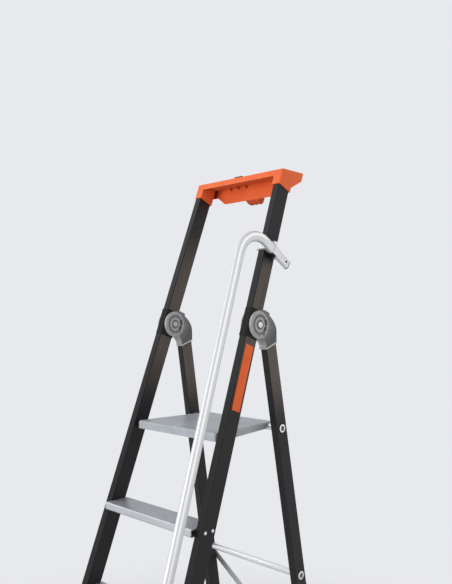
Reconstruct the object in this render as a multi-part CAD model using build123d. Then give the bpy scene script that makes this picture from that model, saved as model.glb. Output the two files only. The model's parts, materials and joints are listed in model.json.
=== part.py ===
from build123d import *
import math
import os

# Platform stepladder with a handrail: leaning front frame, folding rear frame, folding platform.
# Millimetres, +Z up. The climber faces +Y, and +X is on the climber's right.

# Frames
step_rise = 235.0            # from tread to tread
tread_count = 4              # below the platform
front_lean = 19.9            # degrees from upright
front_taper = 1.35           # degrees, each stile towards the middle
rear_lean = 10.0
rear_taper = 0.8
frame_width = 410.0          # outside the stiles at platform height
platform_height = step_rise * (tread_count + 1)

# Box sections
stile_width = 24.0
stile_depth = 50.0
leg_width = 23.5
leg_depth = 45.0
section_wall = 2.0
section_corner = 1.2
stile_top = 806.0            # along the stile, from platform height
sole = 7.0                   # rubber under each section's end

# Fold hinge
hinge_height = 305.0         # above the platform, on the stile's middle line
hinge_set_back = 16.0        # behind the stile's middle line
leg_set_back = 26.0          # leg's front face behind the pivot
pin_radius = 6.0
running_gap = 0.05
side_gap = 0.3
sleeve_wall = 1.5
sleeve_half_width = 14.6
sleeve_below = 46.0
sleeve_above = 40.0
disc_radius = 41.5
cheek = 5.9
socket_half_width = 14.2
socket_wall = 2.0

# Platform
deck_front = -25.0           # from the stile's middle line at platform height
deck_rear = 260.0
deck_front_half = 171.0
deck_rear_half = 150.0
deck_height = 24.0
deck_rear_height = 16.0
deck_skin = 3.0
hook_place = 84.0            # across, from the middle
hook_depth = 20.5
deck_pivot = (4.0, -13.0)    # behind that line, above the deck
deck_pin_radius = 5.0

# Rear cross tubes
tube_radius = 10.0
tube_bore = 8.0
flare_radius = 12.7
lower_tubes = (-790.0, -1210.0)   # along the legs, from the pivot
brace_inset = 40.0           # braces' ends from those tubes

# Treads
tread_front = -48.0
tread_rear = 32.0
tread_height = 22.0
tread_rear_height = 14.0
tread_wall = 2.2

# Top cap
cap_top = platform_height + 785.0
cap_width = 380.0
cap_depth = 107.0
cap_wall = 3.0
cap_corner = 5.0
cap_end = 31.0               # across each stile socket
tray_depth = 10.0
fascia_height = 19.5
rim_height = 25.5            # at the rear
socket_front_low = 774.0     # along the stile, as the next two
socket_rear_low = 769.5
socket_root = 785.7
apron_set_back = 72.0        # behind the cap's front edge
apron_height = 64.0
apron_end_height = 39.0
apron_low_half = 130.0
apron_end_half = 164.0
rib_places = (-97.0, -62.0, -26.0)
grip_half = 31.0
finger_pitch = 17.5

# Handrail
rail_half_depth = 15.5       # flat-oval tube, deeper in the plane of its bends
rail_half_width = 8.0
rail_wall = 1.7
rail_reach = 141.0           # in front of the stile's middle line, at the upper bend
rail_low_reach = 117.0
rail_out = 27.0              # outside it
rail_bend = 78.0
rail_tail_drop = 12.5        # degrees below square at the upper end
rail_tail_height = 553.8     # along the stile, where the upper tail crosses it
rail_tail_end = 70.0
rail_low = -638.0
rail_low_end = 60.0
strap_width = 18.0
strap_thickness = 2.7

sin_front = math.sin(math.radians(front_lean))
cos_front = math.cos(math.radians(front_lean))
tan_front = sin_front / cos_front
sin_taper = math.sin(math.radians(front_taper))
cos_taper = math.cos(math.radians(front_taper))
sin_rear = math.sin(math.radians(rear_lean))
cos_rear = math.cos(math.radians(rear_lean))
sin_flare = math.sin(math.radians(rear_taper))
cos_flare = math.cos(math.radians(rear_taper))
fold_angle = front_lean + rear_lean
lean = Vector(0, sin_front, cos_front)

# Right stile's frame: x outwards, y backwards, z along the stile
stile_up = Vector(-sin_taper, cos_taper * sin_front, cos_taper * cos_front)
stile_across = Vector(cos_taper, sin_taper * sin_front, sin_taper * cos_front)
stile_frame = Plane(
    origin=((frame_width - stile_width) / 2, 0, platform_height), x_dir=stile_across, z_dir=stile_up
)
hinge_along = hinge_height / stile_up.Z
hinge_middle = stile_frame.from_local_coords(Vector(0, 0, hinge_along))
hinge = stile_frame.from_local_coords(Vector(0, hinge_set_back, hinge_along))
deck_pivot_point = Vector(0, deck_pivot[0], platform_height + deck_pivot[1])

# Right leg's frame: x outwards, y backwards, z up along the leg
leg_up = Vector(-sin_flare, -cos_flare * sin_rear, cos_flare * cos_rear)
leg_across = Vector(cos_flare, -sin_flare * sin_rear, sin_flare * cos_rear)
leg_frame = Plane(origin=hinge, x_dir=leg_across, z_dir=leg_up)
leg_middle = leg_set_back + leg_depth / 2
fork_frame = Plane(origin=hinge, x_dir=(1, 0, 0), z_dir=(0, -sin_rear, cos_rear))
rear_face = Plane(origin=(0, hinge.Y, hinge.Z), x_dir=(1, 0, 0), z_dir=(0, -cos_rear, -sin_rear))

# The top cross tube lies under the deck's skin
tube_level = platform_height - deck_skin - side_gap - tube_radius
tube_back = leg_frame.y_dir * leg_middle
top_tube = (tube_level - hinge.Z - tube_back.Z) / leg_up.Z


def along_x(centre, radius, length):
    """Round bar along X."""
    return Pos(*centre) * Rot(0, 90, 0) * Cylinder(radius, length)


def left_of(shape):
    """The same piece on the other side of the ladder."""
    return mirror(shape, about=Plane.YZ)


def both_sides(shapes):
    """A group of pieces and their mirrored twins."""
    return [*shapes, *[left_of(shape) for shape in shapes]]


def leaning_point(back, up):
    """World Y and Z of a point given square to the stile and along it."""
    return (back * cos_front + up * sin_front, platform_height + up * cos_front - back * sin_front)


def section(width, depth):
    """Hollow box section."""
    outer = RectangleRounded(width, depth, section_corner)
    return outer - RectangleRounded(width - 2 * section_wall, depth - 2 * section_wall, section_corner / 2)


def above_sole(shape):
    """Cut a section level above its rubber sole."""
    return split(shape, bisect_by=Plane.XY.offset(sole), keep=Keep.TOP)


def stile_bar(profile, bottom=-1275.0, top=stile_top):
    """A profile run along the right stile."""
    return stile_frame * Pos(0, 0, bottom) * extrude(profile, top - bottom)


def leg_bar(profile, bottom=-1540.0, top=-32.0):
    """A profile run along the right leg."""
    return leg_frame * Pos(0, leg_middle, bottom) * extrude(profile, top - bottom)


stile_core = stile_bar(RectangleRounded(stile_width, stile_depth, section_corner))
leg_core = leg_bar(RectangleRounded(leg_width, leg_depth, section_corner))


def rail_point(across, back, up):
    """World point in the right stile's frame."""
    return stile_frame.from_local_coords(Vector(across, back, up))


# Frames where the handrail's two ends cross the stile: x outwards, y back along the tail
tail_planes = {}
for tail_name, tail_up, tail_turn in (("upper", rail_tail_height, rail_tail_drop), ("lower", rail_low, 0.0)):
    tail_planes[tail_name] = stile_frame * Pos(rail_out, 0, tail_up) * Rot(-tail_turn, 0, 0)
strap_bolt_rise = rail_half_depth + strap_thickness + 9.5


def strap_bolt_hole(tail):
    """Bore for the bolt beside a handrail end."""
    return tail * Pos(-rail_out, 0, strap_bolt_rise) * Rot(0, 90, 0) * Cylinder(4.0, 60)


def make_stile():
    """Right stile with its pivot and bolt holes."""
    stile = above_sole(stile_bar(section(stile_width, stile_depth)))
    stile -= along_x(hinge, pin_radius + running_gap, 60)
    stile -= along_x(Vector(stile_frame.origin.X - stile_width / 2, deck_pivot_point.Y, deck_pivot_point.Z),
                     deck_pin_radius, 14)
    return stile


def make_sleeve():
    """Black sleeve that squares the tapered stile to the hinge cheeks."""
    frame = Plane(origin=hinge_middle, x_dir=(1, 0, 0), z_dir=lean)
    profile = RectangleRounded(2 * sleeve_half_width, stile_depth + 2 * sleeve_wall, 4)
    sleeve = frame * Pos(0, 0, -sleeve_below) * extrude(profile, sleeve_below + sleeve_above)
    sleeve -= stile_core
    return sleeve - along_x(hinge, pin_radius + running_gap, 60)


def make_hinge_pin():
    """Headed rivet through both cheeks."""
    reach = sleeve_half_width + side_gap + cheek + side_gap
    head = Cylinder(9.0, 3.2, align=(Align.CENTER, Align.CENTER, Align.MIN))
    head = fillet(head.edges().group_by(Axis.Z)[-1], 2.2)
    pin = along_x((0, 0, 0), pin_radius, 2 * reach)
    pin += Pos(reach, 0, 0) * Rot(0, 90, 0) * head
    pin += Pos(-reach, 0, 0) * Rot(0, -90, 0) * head
    return Pos(*hinge) * pin


def fork_outline():
    """Side view of the hinge casting: disc, stop lug, curved back and leg socket."""
    socket_front = leg_set_back - socket_wall
    socket_back = leg_set_back + leg_depth + socket_wall
    front_low = (socket_front, -79)
    front_high = (socket_front, -66)
    throat = (9, -40)
    notch_low = (47, 18)
    back_high = (socket_back, -35)
    back_low = (socket_back, -69)
    edges = [
        Line(front_low, front_high),
        ThreePointArc(front_high, (socket_front - 5, -53), throat),
        Polyline(throat, (0, 0), (0, disc_radius), (26, 40), (48, 27), notch_low),
        ThreePointArc(notch_low, (64, -4), back_high),
        Polyline(back_high, back_low, front_low),
    ]
    return Circle(disc_radius) + make_face(edges)


def fork_sides():
    """Front view of the casting: wide cheeks drawn in to the socket."""
    wide = sleeve_half_width + side_gap + cheek
    right = [
        (wide, 60), (wide, -22), (socket_half_width + 1.2, -56), (socket_half_width, -64),
        (socket_half_width, -95),
    ]
    left = [(-x, y) for x, y in reversed(right)]
    return Polygon(*right, *left, align=None)


def fork_slot():
    """Room between the cheeks for the sleeve, from open to folded."""
    reach = stile_depth / 2 + sleeve_wall - hinge_set_back + 0.5
    turn = math.radians(fold_angle)
    top = 70.0
    bottom = -110.0
    knee = (reach * math.cos(turn) - reach) / math.sin(turn)
    points = [
        (-70, bottom), (reach, bottom), (reach, knee),
        ((reach + top * math.sin(turn)) / math.cos(turn), top), (-70, top),
    ]
    return Polygon(*points, align=None)


def cheek_relief():
    """Rings and pockets sunk into one cheek's outer face, which lies at x = 0."""
    def ring(outer, inner, depth):
        return along_x((-depth / 2, 0, 0), outer, depth) - along_x((-depth / 2, 0, 0), inner, depth)

    relief = ring(30.5, 22.5, 2.0) + ring(14.5, 9.8, 1.8)
    bevel = Polygon((disc_radius - 3, 0.01), (disc_radius + 1.5, 0.01), (disc_radius + 1.5, -2.6), align=None)
    relief += revolve(Plane.YX * bevel, Axis.X)
    pockets = ((-12, 18, 22.0, 33.0), (-54, -24, 21.0, 32.0), (-70, -60, 31.0, 37.0))
    for start, finish, inner, outer in pockets:
        wedge = Polygon((0, 0), *[
            (2 * outer * math.cos(math.radians(angle)), 2 * outer * math.sin(math.radians(angle)))
            for angle in (start, finish)
        ], align=None)
        pocket = (Circle(outer) - Circle(inner)) & wedge
        relief += extrude(Plane.YZ * pocket, 3.6, dir=(-1, 0, 0))
    return relief


def make_fork():
    """Grey hinge casting of the right rear leg."""
    wide = sleeve_half_width + side_gap + cheek
    fork = extrude(Plane.YZ * fork_outline(), wide, both=True)
    fork &= extrude(Plane.XZ * fork_sides(), 90, both=True)
    relief = cheek_relief()
    fork -= Pos(wide, 0, 0) * relief
    fork -= Pos(-wide, 0, 0) * mirror(relief, about=Plane.YZ)
    slot_half = sleeve_half_width + side_gap
    fork -= extrude(Plane.YZ * fork_slot(), slot_half, both=True)
    lip_plane = Plane(origin=(0, leg_middle, -74), x_dir=(1, 0, 0), z_dir=(0, -0.186, 0.983))
    fork += lip_plane * extrude(RectangleRounded(2 * socket_half_width + 2.2, leg_depth + 8.4, 4), 4)
    fork -= along_x((0, 0, 0), pin_radius + running_gap, 60)
    return fork_frame * fork - leg_core


def make_leg():
    """Right rear leg with holes for the cross tubes."""
    leg = above_sole(leg_bar(section(leg_width, leg_depth)))
    for up in (top_tube, *lower_tubes):
        leg -= along_x(leg_frame.from_local_coords(Vector(0, leg_middle, up)), tube_radius, 60)
    return leg


def make_rear_tube(up):
    """Cross tube through both legs, flared outside them."""
    end = leg_frame.from_local_coords(Vector(0, leg_middle, up))
    half = end.X + leg_width / 2 + 0.3
    tube = along_x((0, 0, 0), tube_radius, 2 * half)
    flare = Cylinder(flare_radius, 3.0, align=(Align.CENTER, Align.CENTER, Align.MIN))
    flare = fillet(flare.edges(), 1.3)
    tube += Pos(half, 0, 0) * Rot(0, 90, 0) * flare
    tube += Pos(-half, 0, 0) * Rot(0, -90, 0) * flare
    tube -= along_x((0, 0, 0), tube_bore, 2 * half + 20)
    return Pos(0, end.Y, end.Z) * tube


def make_foot(frame, middle, width, depth, core):
    """Rubber boot round the lower end of a section."""
    boot = frame * Pos(0, middle, 0) * extrude(RectangleRounded(width + 9, depth + 9, 5), 140, both=True)
    boot &= Pos(0, 0, 32) * Box(2000, 4000, 64)
    grip_pitch = 14.0
    low = boot.bounding_box()
    for step in range(int(low.size.Y / grip_pitch)):
        boot -= Pos(0, low.min.Y + grip_pitch * (step + 0.75), 0) * Box(2000, 4, 3)
    return boot - above_sole(core)


def ground_frame(frame, middle):
    """A section's frame moved down to the ground."""
    drop = -frame.origin.Z / frame.z_dir.Z
    if middle:
        drop -= middle * frame.y_dir.Z / frame.z_dir.Z
    return frame * Pos(0, 0, drop)


def tread_profile():
    """Hollow ribbed tread section, its top at 0."""
    outer = Polygon(
        (tread_front, 0), (tread_rear, 0), (tread_rear, -tread_rear_height),
        (tread_rear - 14, -tread_height), (tread_front, -tread_height), align=None,
    )
    nose = outer.vertices().sort_by(Axis.X)[:2]
    profile = fillet(nose, 5)
    inner_low = -tread_height + tread_wall
    webs = (tread_front + tread_wall, -19.0, 9.0, tread_rear - tread_wall)
    for front, rear in zip(webs[:-1], webs[1:]):
        chamber = Polygon(
            (front + 1, -4), (rear - 1, -4), (rear - 1, max(inner_low, -tread_rear_height + 1)),
            (min(rear - 1, tread_rear - 15), inner_low), (front + 1, inner_low), align=None,
        )
        profile -= chamber
    groove_pitch = 8.0
    for step in range(9):
        profile -= Pos(tread_front + 9 + groove_pitch * step, 0) * Rectangle(3.2, 2.4)
    return profile


def make_tread(number):
    """Extruded tread cut to the gap between the stiles."""
    height = number * step_rise
    middle = (height - platform_height) * tan_front
    tread = Pos(0, middle, height) * extrude(Plane.YZ * tread_profile(), 300, both=True)
    inner = stile_frame.from_local_coords(Vector(-stile_width / 2, 0, 0))
    side = Plane(origin=inner, x_dir=stile_up, z_dir=stile_across)
    other = Plane(
        origin=(-side.origin.X, side.origin.Y, side.origin.Z),
        x_dir=(-stile_up.X, stile_up.Y, stile_up.Z),
        z_dir=(-stile_across.X, stile_across.Y, stile_across.Z),
    )
    tread = split(tread, bisect_by=side, keep=Keep.BOTTOM)
    return split(tread, bisect_by=other, keep=Keep.BOTTOM)


def rivet(radius=5.0, height=2.6):
    """Rivet head standing on the XY plane."""
    head = Cylinder(radius, height, align=(Align.CENTER, Align.CENTER, Align.MIN))
    return fillet(head.edges().group_by(Axis.Z)[-1], height * 0.75)


def make_tread_rivets():
    """Two rivet heads at each tread end, on the stiles' outer faces."""
    heads = []
    for number in range(1, tread_count + 1):
        up = (number * step_rise - 11 - platform_height) / stile_up.Z
        for back in (-13.0, 13.0):
            heads.append(stile_frame * Pos(stile_width / 2, back, up + back * 0.37) * Rot(0, 90, 0) * rivet())
    return both_sides(heads)


def cap_front(height):
    """World Y of the cap's front face at a height."""
    return (height - platform_height) * tan_front - (stile_depth / 2 + cap_wall) / cos_front


def cap_prism(inset, top, bottom, corner):
    """Rounded plan of the cap run down parallel to the stiles."""
    plan = RectangleRounded(cap_width - 2 * inset, cap_depth - 2 * inset, corner)
    start = Pos(0, cap_front(top) + cap_depth / 2, top) * plan
    return extrude(start, (top - bottom) / cos_front, dir=-lean)


def up_at(back, height):
    """Place along the stile of a point given square to it and by its height."""
    return (height - platform_height + back * sin_front) / cos_front


def cap_end_profile():
    """Side view of the cap's end: tray end, curved underside and stile socket."""
    front = -stile_depth / 2 - cap_wall
    back = stile_depth / 2 + cap_wall
    rear = front + cap_depth * cos_front
    lip = leaning_point(rear, up_at(rear, cap_top - rim_height))
    root = leaning_point(back, socket_root)
    above = cap_top + 20
    face = Polygon(
        leaning_point(front, up_at(front, above)), leaning_point(rear, up_at(rear, above)), lip, root,
        leaning_point(back, socket_rear_low), leaning_point(front, socket_front_low), align=None,
    )
    for corner, radius in ((lip, 7), (root, 16)):
        face = fillet([face.vertices().sort_by_distance(corner)[0]], radius)
    return face


def tray_hollow():
    """Room in the tray, a little wider at its top."""
    floor = cap_top - tray_depth
    front = cap_front(cap_top) + 5
    rear = cap_front(floor) + cap_depth - 6
    plan = Pos(0, (front + rear) / 2, floor) * RectangleRounded(cap_width - 14, rear - front, 5)
    return extrude(plan, tray_depth + 1, taper=-3)


def cap_skirt(height, side):
    """Half of the cap's outer wall, in front (-1) or at the rear (1)."""
    shell = cap_prism(0, cap_top, cap_top - height, cap_corner) - cap_prism(cap_wall, cap_top, 0, 2)
    return shell & Pos(0, cap_front(cap_top) + cap_depth / 2 + side * 500, cap_top) * Box(cap_width, 1000, 400)


def make_apron():
    """Upright wall under the tray, its lower edge drawn up at both ends."""
    half = cap_width / 2 - cap_wall / 2
    right = [
        (half, -tray_depth - 1), (half, -apron_end_height), (apron_end_half, -apron_end_height),
        (apron_low_half, -apron_height),
    ]
    face = Polygon(*right, *[(-x, z) for x, z in reversed(right)], align=None)
    wall = extrude(Plane.XZ * face, cap_wall, dir=(0, 1, 0))
    return Pos(0, cap_front(cap_top) + apron_set_back, cap_top) * wall


def make_cap_ends():
    """End walls and the sockets over the stile tops."""
    profile = cap_end_profile()
    front = -stile_depth / 2 - cap_wall
    socket = profile & Polygon(*[
        leaning_point(back, up) for back, up in ((front, 700), (-front, 700), (-front, 950), (front, 950))
    ], align=None)

    def outer_slice(face, thickness):
        half = cap_width / 2
        return extrude(Plane.YZ * face, half, both=True) - extrude(Plane.YZ * face, half - thickness, both=True)

    ends = outer_slice(profile, cap_wall) + outer_slice(socket, cap_end)
    return ends & cap_prism(0, cap_top - 1, cap_top - 120, cap_corner)


def make_cap():
    """Orange top cap: tray, fascia, rear rim, apron, end sockets and small ribs."""
    under_floor = cap_top - tray_depth - cap_wall
    cap = cap_prism(0, cap_top, under_floor, cap_corner)
    cap += cap_skirt(fascia_height, -1) + cap_skirt(rim_height, 1)
    cap += make_cap_ends() + make_apron()
    for x in rib_places:
        cap += make_cap_rib(x, under_floor)
    cap -= tray_hollow()
    cap -= stile_core
    return cap - left_of(stile_core)


def make_cap_rib(x, top):
    """Small gusset between the tray's floor and the apron."""
    wall = cap_front(cap_top) + apron_set_back + 1
    face = Polygon((wall - 21, top + 0.5), (wall, top + 0.5), (wall, top - 12), align=None)
    return Pos(x, 0, 0) * extrude(Plane.YZ * face, 1.5, both=True)


def make_cap_pad():
    """Low dark pad on the middle of the cap's front rim."""
    pad = Box(34, 4.6, 3.4, align=(Align.CENTER, Align.MIN, Align.MIN))
    pad = fillet(pad.edges().group_by(Axis.Z)[-1], 1.4)
    return Pos(0, cap_front(cap_top) + 0.2, cap_top) * pad


def make_grip():
    """Carrying grip under the apron's lower edge, with three finger lobes."""
    face = cap_front(cap_top) + apron_set_back
    low = cap_top - apron_height
    behind = face + cap_wall + 0.1
    side = Polygon(
        (face, low - 0.1), (face, low - 4), (face + 13, low - 17), (face + 20, low - 17), (face + 26, low - 11),
        (face + 26, low + 4), (behind, low + 4), (behind, low - 0.1), align=None,
    )
    right = [(grip_half, 6), (grip_half, -1), (grip_half - 9, -10)]
    outline = Pos(0, low) * Polygon(*right, *[(-x, z) for x, z in reversed(right)], align=None)
    for step in (-1, 0, 1):
        outline += Pos(step * finger_pitch, low - 6) * Circle(9.5)
    return extrude(Plane.YZ * side, 60, both=True) & extrude(Plane.XZ * outline, 1000, both=True)


def make_cap_screws():
    """One screw head behind each stile socket."""
    back = stile_depth / 2 + cap_wall
    up = socket_rear_low + 5
    y, z = leaning_point(back, up)
    place = Plane(origin=(rail_point(0, 0, up).X, y, z), x_dir=(1, 0, 0), z_dir=(0, cos_front, -sin_front))
    return both_sides([place * rivet(3.6, 2.2)])


def deck_plan(inset):
    """Plan of the deck, narrower at the rear."""
    return Polygon(
        (inset - deck_front_half, deck_front + inset), (deck_front_half - inset, deck_front + inset),
        (deck_rear_half - inset, deck_rear - inset), (inset - deck_rear_half, deck_rear - inset), align=None,
    )


def deck_half(y):
    """Half the deck's width at a place behind the stiles' middle line."""
    share = (y - deck_front) / (deck_rear - deck_front)
    return deck_front_half + share * (deck_rear_half - deck_front_half)


def tube_notch():
    """Way for the top cross tube out of the deck, down and forwards."""
    middle = leg_frame.from_local_coords(Vector(0, leg_middle, top_tube))
    y = middle.Y
    z = middle.Z - platform_height
    room = tube_radius + side_gap
    front = y - room - 2
    face = Polygon(
        (front - 26, z - 40), (front, z), (front, z + room), (y + room, z + room), (y + room, z - 40),
        align=None,
    )
    return extrude(Plane.YZ * face, 300, both=True)


def make_deck():
    """Grey platform: skinned tray with a rounded nose, ribs below and pivot bosses."""
    deck = extrude(deck_plan(0), -deck_height)
    upright = deck.edges().filter_by(lambda edge: abs(edge.tangent_at(0).Z) > 0.99)
    deck = fillet(upright, 9)
    top = deck.faces().sort_by(Axis.Z)[-1]
    nose = top.edges().filter_by(Axis.X).sort_by(Axis.Y)[0]
    deck = fillet([nose], 7)
    wall = 3.0
    hollow = Pos(0, 0, -deck_skin) * extrude(deck_plan(wall), -deck_height)
    ribs = Pos(0, 130, -10) * Box(2.6, 300, 14)
    for x in (-112, -56, 56, 112):
        ribs += Pos(x, 130, -10) * Box(2.6, 300, 14)
    for y in (70, 150):
        ribs += Pos(0, y, -10) * Box(400, 2.6, 14)
    deck -= hollow - ribs
    y, z = deck_pivot
    for side in (-1, 1):
        middle = side * (deck_half(y) - 9)
        deck += along_x((middle, y, z), 10, 16) & extrude(deck_plan(0.5), -deck_height)
        deck -= along_x((middle, y, z), deck_pin_radius + running_gap, 30)
    below = -deck_height - 30
    under = Polygon(
        (45, -deck_height), (deck_rear + 5, -deck_rear_height), (deck_rear + 5, below), (45, below), align=None,
    )
    deck -= extrude(Plane.YZ * under, 300, both=True)
    deck -= tube_notch()
    return drilled(Pos(0, 0, platform_height) * deck)


def make_hook():
    """Right-hand block under the deck that hangs behind the cross tube."""
    middle = leg_frame.from_local_coords(Vector(0, leg_middle, top_tube))
    y = middle.Y
    top = platform_height - deck_skin
    low = platform_height - hook_depth
    rear = deck_rear - deck_skin - 0.1
    room = tube_radius + side_gap
    face = Polygon(
        (y + 3, top), (rear, top), (rear, low + 5), (rear - 5, low), (y + room + 2, low), (y + room, low + 3),
        (y + 3, middle.Z), align=None,
    )
    seat = Pos(y, middle.Z) * Circle(room)
    way_out = Polygon((y, middle.Z), (y + room, middle.Z), (y + room, low - 9), (y, low - 9), align=None)
    return drilled(Pos(hook_place, 0, 0) * extrude(Plane.YZ * (face - seat - way_out), 12, both=True))


def make_deck_pins():
    """Pivot pins between the stiles and the deck."""
    y = deck_pivot[0]
    outer = stile_frame.origin.X - stile_width / 2 + 6
    inner = deck_half(y) - 17
    pin = along_x(((outer + inner) / 2, deck_pivot_point.Y, deck_pivot_point.Z), deck_pin_radius, outer - inner)
    return both_sides([pin])


def make_deck_bushes():
    """Spacers on the pivot pins, between stile and deck."""
    y = deck_pivot[0]
    inner = deck_half(y - 9) + 0.4
    bush = along_x((inner + 8, deck_pivot_point.Y, deck_pivot_point.Z), 9.0, 16)
    bush -= along_x((inner + 8, deck_pivot_point.Y, deck_pivot_point.Z), deck_pin_radius, 60)
    bush -= stile_frame * Pos(20 - stile_width / 2, 0, 0) * Box(40, 200, 200)
    return both_sides([bush])


def rail_path():
    """Handrail centre line: upper tail, two bends and lower tail."""
    drop = math.tan(math.radians(rail_tail_drop))
    points = [
        rail_point(rail_out, rail_tail_end, rail_tail_height - drop * rail_tail_end),
        rail_point(rail_out, -rail_reach, rail_tail_height + drop * rail_reach),
        rail_point(rail_out, -rail_low_reach, rail_low),
        rail_point(rail_out, rail_low_end, rail_low),
    ]
    return FilletPolyline(*points, radius=rail_bend)


def rail_oval(room):
    """The handrail tube's outline with room round it, narrow across the ladder."""
    return SlotOverall(2 * (rail_half_depth + room), 2 * (rail_half_width + room), rotation=90)


def make_rail():
    """Bent aluminium handrail tube."""
    path = rail_path()
    start = Plane(origin=path @ 0, x_dir=stile_across, z_dir=path % 0)
    return sweep(start * rail_oval(0), path) - sweep(start * rail_oval(-rail_wall), path)


def make_rail_plugs():
    """Plastic plugs in the handrail's ends."""
    path = rail_path()
    plugs = []
    for place, turn in ((0, -1), (1, 1)):
        face = Plane(origin=path @ place, x_dir=stile_across, z_dir=(path % place) * turn)
        plug = extrude(rail_oval(0), 4)
        plug = fillet(plug.edges().group_by(Axis.Z)[-1], 2.5)
        plugs.append(face * (plug + extrude(rail_oval(-rail_wall), -16)))
    return plugs


def make_rail_bracket(tail):
    """U-shaped bracket round the stile's front, under the handrail."""
    outer_face = rail_out - rail_half_width - 0.2
    width = outer_face + stile_width / 2 + 6
    block = Pos(outer_face - width / 2 - rail_out, -1, 0) * Box(width, 58, 21)
    block = fillet(block.edges().filter_by(Axis.Z), 4)
    slot = Pos(-rail_out, 14, 0) * Box(stile_width, 60, 60)
    return tail * (block - slot) - stile_core


def make_rail_strap(tail):
    """Strap over the handrail with a bolted ear on the stile's outer face."""
    gap = 0.1
    inside = rail_half_depth + gap
    outside = inside + strap_thickness
    face_x = stile_width / 2 - rail_out
    ring = rail_oval(gap + strap_thickness) - rail_oval(gap)
    ring &= Pos(50, 0) * Rectangle(100, 100)
    legs = Rectangle(-face_x, 2 * outside) - Rectangle(-face_x, 2 * inside)
    strap = extrude(Plane.XZ * (ring + Pos(face_x / 2, 0) * legs), strap_width / 2, both=True)
    ear = Pos(0, strap_bolt_rise) * Circle(9) + Pos(0, (inside + strap_bolt_rise) / 2) * Rectangle(
        18, strap_bolt_rise - inside)
    strap += Plane.YZ * Pos(0, 0, face_x) * extrude(ear, strap_thickness)
    return tail * strap - strap_bolt_hole(tail)


def make_rail_bolt(tail):
    """Bolt through the stile with a dome nut outside."""
    dome = Sphere(8.2) & Pos(0, 0, 10) * Box(20, 20, 20)
    nut = extrude(RegularPolygon(9.0, 6), 4.5) + Pos(0, 0, 4.5) * dome
    ear_face = stile_width / 2 + strap_thickness
    bolt = Pos(ear_face, 0, 0) * Rot(0, 90, 0) * nut
    shank = ear_face + stile_width / 2
    bolt += Pos(ear_face - shank / 2, 0, 0) * Rot(0, 90, 0) * Cylinder(4.0, shank)
    bolt += Pos(-stile_width / 2, 0, 0) * Rot(0, -90, 0) * extrude(RegularPolygon(8.2, 6), 5)
    return tail * Pos(-rail_out, 0, strap_bolt_rise) * bolt


def make_brace(layer, mirrored):
    """Flat diagonal bar across the backs of the rear legs."""
    high = leg_frame.from_local_coords(Vector(0, 0, lower_tubes[0] - brace_inset))
    low = leg_frame.from_local_coords(Vector(0, 0, lower_tubes[1] + brace_inset))
    span = Vector(high.X + low.X, lower_tubes[0] - lower_tubes[1] - 2 * brace_inset, 0)
    turn = math.degrees(math.atan2(span.Y, span.X))
    middle = ((high.X - low.X) / 2, (lower_tubes[0] + lower_tubes[1]) / 2)
    bar = SlotCenterToCenter(span.length, 22)
    depth = leg_set_back + leg_depth + 3.2 * layer
    placed = rear_face * Pos(middle[0], middle[1], -depth - 3) * Rot(0, 0, turn)
    piece = placed * extrude(bar, 3)
    return left_of(piece) if mirrored else piece


def make_brace_rivets():
    """Rivet heads and spacers of the crossed braces."""
    heads = []
    depth = leg_set_back + leg_depth
    spacer = Cylinder(8, 3.2, align=(Align.CENTER, Align.CENTER, Align.MIN))
    for side, up in ((1, lower_tubes[0] - brace_inset), (-1, lower_tubes[1] + brace_inset)):
        end = leg_frame.from_local_coords(Vector(0, 0, up))
        across = side * rear_face.to_local_coords(end).X
        heads.append(rear_face * Pos(across, up, -depth - 3) * Rot(180, 0, 0) * rivet())
        heads.append(rear_face * Pos(-across, up, -depth) * Rot(180, 0, 0) * spacer)
        heads.append(rear_face * Pos(-across, up, -depth - 6.2) * Rot(180, 0, 0) * rivet())
    return heads


def make_fork_rivets():
    """Rivet heads on the backs of the fork sockets, which hold the legs."""
    socket_back = leg_set_back + leg_depth + socket_wall
    heads = [fork_frame * Pos(0, socket_back, up) * Rot(-90, 0, 0) * rivet(3.6, 2.2) for up in (-44, -60)]
    return both_sides(heads)


def hook_rivet_places():
    """Tops of the hooks' rivets, flush with the deck."""
    tube_y = leg_frame.from_local_coords(Vector(0, leg_middle, top_tube)).Y
    y = (tube_y + tube_radius + deck_rear - deck_skin) / 2
    return [Pos(side * hook_place + x, y, platform_height) for side in (-1, 1) for x in (-6.5, 6.5)]


def hook_rivet(room, above):
    """Countersunk rivet, or its hole with room round it and open above."""
    head = 4.0 + room
    shank = 2.2 + room
    foot = -12.0 - room
    profile = Polygon((0, above), (head, above), (head, 0), (shank, -1.8), (shank, foot), (0, foot), align=None)
    return revolve(Plane.XZ * profile, Axis.Z)


def drilled(piece):
    """A piece with the hooks' rivet holes."""
    hole = hook_rivet(running_gap, 1.0)
    for place in hook_rivet_places():
        piece -= place * hole
    return piece


stile_right = make_stile()
for tail_plane in tail_planes.values():
    stile_right -= strap_bolt_hole(tail_plane)
sleeve_right = make_sleeve()
pin_right = make_hinge_pin()
fork_right = make_fork()
leg_right = make_leg()
hook_right = make_hook()
front_foot = make_foot(ground_frame(stile_frame, 0), 0, stile_width, stile_depth, stile_core)
rear_foot = make_foot(ground_frame(leg_frame, leg_middle), leg_middle, leg_width, leg_depth, leg_core)

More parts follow.
